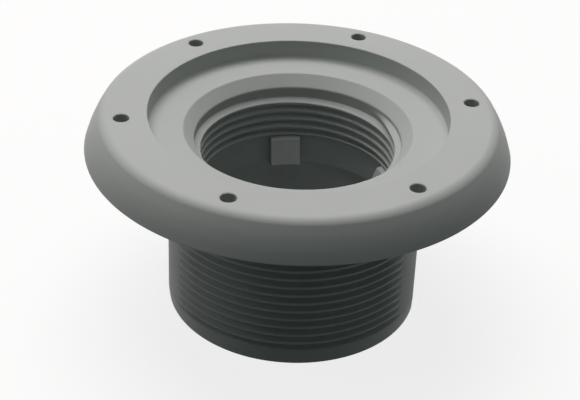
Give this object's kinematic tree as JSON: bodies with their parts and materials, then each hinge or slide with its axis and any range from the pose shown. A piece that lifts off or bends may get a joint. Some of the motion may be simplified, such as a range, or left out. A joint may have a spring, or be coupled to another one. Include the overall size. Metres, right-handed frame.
{
  "type": "pool inlet fitting",
  "caption": "Round flanged plastic wall inlet for a pool, with a threaded seat for an insert, a threaded spigot with flats for a nut and a pipe socket at its end.",
  "frame": {"origin": "centre of the spigot's end face, the bottom of the part as it stands", "axes": "+Z along the water way from the spigot's end to the flange's face; the picture looks along +Y and down, with +X to the right"},
  "size_m": [0.0986, 0.0986, 0.05],
  "materials": {
    "grey_plastic": "moulded light grey plastic with a fine satin surface"
  },
  "bodies": {
    "root": {"inlet_body": "grey_plastic"}
  },
  "joints": []
}
